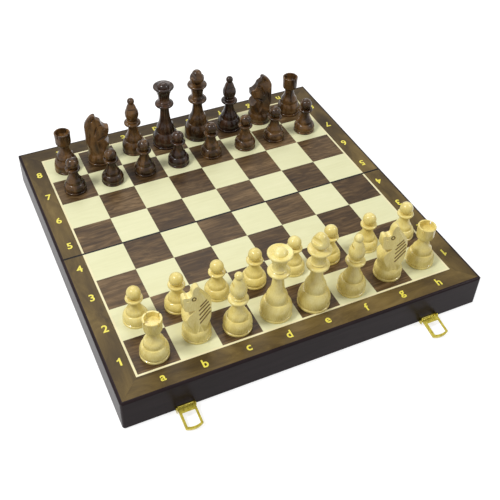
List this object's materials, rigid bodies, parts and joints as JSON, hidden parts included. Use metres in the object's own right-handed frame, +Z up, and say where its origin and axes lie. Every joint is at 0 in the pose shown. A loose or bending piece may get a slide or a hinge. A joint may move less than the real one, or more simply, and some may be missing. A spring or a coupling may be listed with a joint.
{
  "type": "folding chess box",
  "caption": "Hinged wooden chess box opened flat as a veneered board, with brass latches and turned chessmen standing in the opening position.",
  "frame": {"origin": "middle of the seam between the halves, on the plane of the rims that the open box stands on, on the axis of the hinge pins", "axes": "+X along the seam from the a-file to the h-file, +Y from the light side to the dark side, +Z up from the rims to the playing surface"},
  "size_m": [0.4, 0.4327, 0.1346],
  "materials": {
    "lacquered_rail": "very dark brown satin lacquer over close-grained wood",
    "plywood": "bare birch plywood",
    "burl_veneer": "dark brown burl veneer, satin lacquer, mitred",
    "inlay_veneer": "pale plain veneer line, satin lacquer",
    "maple_veneer": "pale yellow ivory veneer, satin lacquer",
    "walnut_veneer": "dark brown figured veneer, satin lacquer",
    "felt": "dark green felt",
    "brass": "yellow stamped brass sheet, lightly tarnished",
    "boxwood": "turned boxwood, glossy clear lacquer",
    "rosewood": "turned dark rosewood, glossy clear lacquer"
  },
  "bodies": {
    "near_half": {"near_front_rail": "lacquered_rail", "near_left_rail": "lacquered_rail", "near_right_rail": "lacquered_rail", "near_seam_rail": "lacquered_rail", "near_panel": "plywood", "near_border_veneer": "burl_veneer", "near_inlaid_line": "inlay_veneer", "near_light_squares": "maple_veneer", "near_dark_squares": "walnut_veneer", "near_felt": "felt", "near_hinge_leaves": "brass", "pivot_pins": "brass", "left_latch_bracket": "brass", "right_latch_bracket": "brass"},
    "far_half": {"far_back_rail": "lacquered_rail", "far_left_rail": "lacquered_rail", "far_right_rail": "lacquered_rail", "far_seam_rail": "lacquered_rail", "far_panel": "plywood", "far_border_veneer": "burl_veneer", "far_inlaid_line": "inlay_veneer", "far_light_squares": "maple_veneer", "far_dark_squares": "walnut_veneer", "far_felt": "felt", "far_hinge_leaves": "brass", "catch_plates": "brass"},
    "left_latch": {"left_latch_frame": "brass"},
    "right_latch": {"right_latch_frame": "brass"},
    "light_king_man": {"light_king": "boxwood"},
    "light_queen_man": {"light_queen": "boxwood"},
    "light_bishop_c_man": {"light_bishop_c": "boxwood"},
    "light_bishop_f_man": {"light_bishop_f": "boxwood"},
    "light_knight_b_man": {"light_knight_b": "boxwood"},
    "light_knight_g_man": {"light_knight_g": "boxwood"},
    "light_rook_a_man": {"light_rook_a": "boxwood"},
    "light_rook_h_man": {"light_rook_h": "boxwood"},
    "light_pawn_a_man": {"light_pawn_a": "boxwood"},
    "light_pawn_b_man": {"light_pawn_b": "boxwood"},
    "light_pawn_c_man": {"light_pawn_c": "boxwood"},
    "light_pawn_d_man": {"light_pawn_d": "boxwood"},
    "light_pawn_e_man": {"light_pawn_e": "boxwood"},
    "light_pawn_f_man": {"light_pawn_f": "boxwood"},
    "light_pawn_g_man": {"light_pawn_g": "boxwood"},
    "light_pawn_h_man": {"light_pawn_h": "boxwood"},
    "dark_king_man": {"dark_king": "rosewood"},
    "dark_queen_man": {"dark_queen": "rosewood"},
    "dark_bishop_c_man": {"dark_bishop_c": "rosewood"},
    "dark_bishop_f_man": {"dark_bishop_f": "rosewood"},
    "dark_knight_b_man": {"dark_knight_b": "rosewood"},
    "dark_knight_g_man": {"dark_knight_g": "rosewood"},
    "dark_rook_a_man": {"dark_rook_a": "rosewood"},
    "dark_rook_h_man": {"dark_rook_h": "rosewood"},
    "dark_pawn_a_man": {"dark_pawn_a": "rosewood"},
    "dark_pawn_b_man": {"dark_pawn_b": "rosewood"},
    "dark_pawn_c_man": {"dark_pawn_c": "rosewood"},
    "dark_pawn_d_man": {"dark_pawn_d": "rosewood"},
    "dark_pawn_e_man": {"dark_pawn_e": "rosewood"},
    "dark_pawn_f_man": {"dark_pawn_f": "rosewood"},
    "dark_pawn_g_man": {"dark_pawn_g": "rosewood"},
    "dark_pawn_h_man": {"dark_pawn_h": "rosewood"}
  },
  "joints": [
    {"name": "fold", "type": "hinge", "parent": "near_half", "child": "far_half", "pos_m": [0, 0, 0], "axis": [1, 0, 0], "range_deg": [-180, 0]},
    {"name": "left_latch_swing", "type": "hinge", "parent": "near_half", "child": "left_latch", "pos_m": [-0.138, -0.2032, 0.0056], "axis": [-1, 0, 0], "range_deg": [-80, 97]},
    {"name": "right_latch_swing", "type": "hinge", "parent": "near_half", "child": "right_latch", "pos_m": [0.138, -0.2032, 0.0056], "axis": [-1, 0, 0], "range_deg": [-80, 97]},
    {"name": "light_king_lift", "type": "slide", "parent": "near_half", "child": "light_king_man", "axis": [0, 0, 1], "range_m": [0, 0.11]},
    {"name": "light_queen_lift", "type": "slide", "parent": "near_half", "child": "light_queen_man", "axis": [0, 0, 1], "range_m": [0, 0.11]},
    {"name": "light_bishop_c_lift", "type": "slide", "parent": "near_half", "child": "light_bishop_c_man", "axis": [0, 0, 1], "range_m": [0, 0.11]},
    {"name": "light_bishop_f_lift", "type": "slide", "parent": "near_half", "child": "light_bishop_f_man", "axis": [0, 0, 1], "range_m": [0, 0.11]},
    {"name": "light_knight_b_lift", "type": "slide", "parent": "near_half", "child": "light_knight_b_man", "axis": [0, 0, 1], "range_m": [0, 0.11]},
    {"name": "light_knight_g_lift", "type": "slide", "parent": "near_half", "child": "light_knight_g_man", "axis": [0, 0, 1], "range_m": [0, 0.11]},
    {"name": "light_rook_a_lift", "type": "slide", "parent": "near_half", "child": "light_rook_a_man", "axis": [0, 0, 1], "range_m": [0, 0.11]},
    {"name": "light_rook_h_lift", "type": "slide", "parent": "near_half", "child": "light_rook_h_man", "axis": [0, 0, 1], "range_m": [0, 0.11]},
    {"name": "light_pawn_a_lift", "type": "slide", "parent": "near_half", "child": "light_pawn_a_man", "axis": [0, 0, 1], "range_m": [0, 0.11]},
    {"name": "light_pawn_b_lift", "type": "slide", "parent": "near_half", "child": "light_pawn_b_man", "axis": [0, 0, 1], "range_m": [0, 0.11]},
    {"name": "light_pawn_c_lift", "type": "slide", "parent": "near_half", "child": "light_pawn_c_man", "axis": [0, 0, 1], "range_m": [0, 0.11]},
    {"name": "light_pawn_d_lift", "type": "slide", "parent": "near_half", "child": "light_pawn_d_man", "axis": [0, 0, 1], "range_m": [0, 0.11]},
    {"name": "light_pawn_e_lift", "type": "slide", "parent": "near_half", "child": "light_pawn_e_man", "axis": [0, 0, 1], "range_m": [0, 0.11]},
    {"name": "light_pawn_f_lift", "type": "slide", "parent": "near_half", "child": "light_pawn_f_man", "axis": [0, 0, 1], "range_m": [0, 0.11]},
    {"name": "light_pawn_g_lift", "type": "slide", "parent": "near_half", "child": "light_pawn_g_man", "axis": [0, 0, 1], "range_m": [0, 0.11]},
    {"name": "light_pawn_h_lift", "type": "slide", "parent": "near_half", "child": "light_pawn_h_man", "axis": [0, 0, 1], "range_m": [0, 0.11]},
    {"name": "dark_king_lift", "type": "slide", "parent": "far_half", "child": "dark_king_man", "axis": [0, 0, 1], "range_m": [0, 0.11]},
    {"name": "dark_queen_lift", "type": "slide", "parent": "far_half", "child": "dark_queen_man", "axis": [0, 0, 1], "range_m": [0, 0.11]},
    {"name": "dark_bishop_c_lift", "type": "slide", "parent": "far_half", "child": "dark_bishop_c_man", "axis": [0, 0, 1], "range_m": [0, 0.11]},
    {"name": "dark_bishop_f_lift", "type": "slide", "parent": "far_half", "child": "dark_bishop_f_man", "axis": [0, 0, 1], "range_m": [0, 0.11]},
    {"name": "dark_knight_b_lift", "type": "slide", "parent": "far_half", "child": "dark_knight_b_man", "axis": [0, 0, 1], "range_m": [0, 0.11]},
    {"name": "dark_knight_g_lift", "type": "slide", "parent": "far_half", "child": "dark_knight_g_man", "axis": [0, 0, 1], "range_m": [0, 0.11]},
    {"name": "dark_rook_a_lift", "type": "slide", "parent": "far_half", "child": "dark_rook_a_man", "axis": [0, 0, 1], "range_m": [0, 0.11]},
    {"name": "dark_rook_h_lift", "type": "slide", "parent": "far_half", "child": "dark_rook_h_man", "axis": [0, 0, 1], "range_m": [0, 0.11]},
    {"name": "dark_pawn_a_lift", "type": "slide", "parent": "far_half", "child": "dark_pawn_a_man", "axis": [0, 0, 1], "range_m": [0, 0.11]},
    {"name": "dark_pawn_b_lift", "type": "slide", "parent": "far_half", "child": "dark_pawn_b_man", "axis": [0, 0, 1], "range_m": [0, 0.11]},
    {"name": "dark_pawn_c_lift", "type": "slide", "parent": "far_half", "child": "dark_pawn_c_man", "axis": [0, 0, 1], "range_m": [0, 0.11]},
    {"name": "dark_pawn_d_lift", "type": "slide", "parent": "far_half", "child": "dark_pawn_d_man", "axis": [0, 0, 1], "range_m": [0, 0.11]},
    {"name": "dark_pawn_e_lift", "type": "slide", "parent": "far_half", "child": "dark_pawn_e_man", "axis": [0, 0, 1], "range_m": [0, 0.11]},
    {"name": "dark_pawn_f_lift", "type": "slide", "parent": "far_half", "child": "dark_pawn_f_man", "axis": [0, 0, 1], "range_m": [0, 0.11]},
    {"name": "dark_pawn_g_lift", "type": "slide", "parent": "far_half", "child": "dark_pawn_g_man", "axis": [0, 0, 1], "range_m": [0, 0.11]},
    {"name": "dark_pawn_h_lift", "type": "slide", "parent": "far_half", "child": "dark_pawn_h_man", "axis": [0, 0, 1], "range_m": [0, 0.11]}
  ]
}
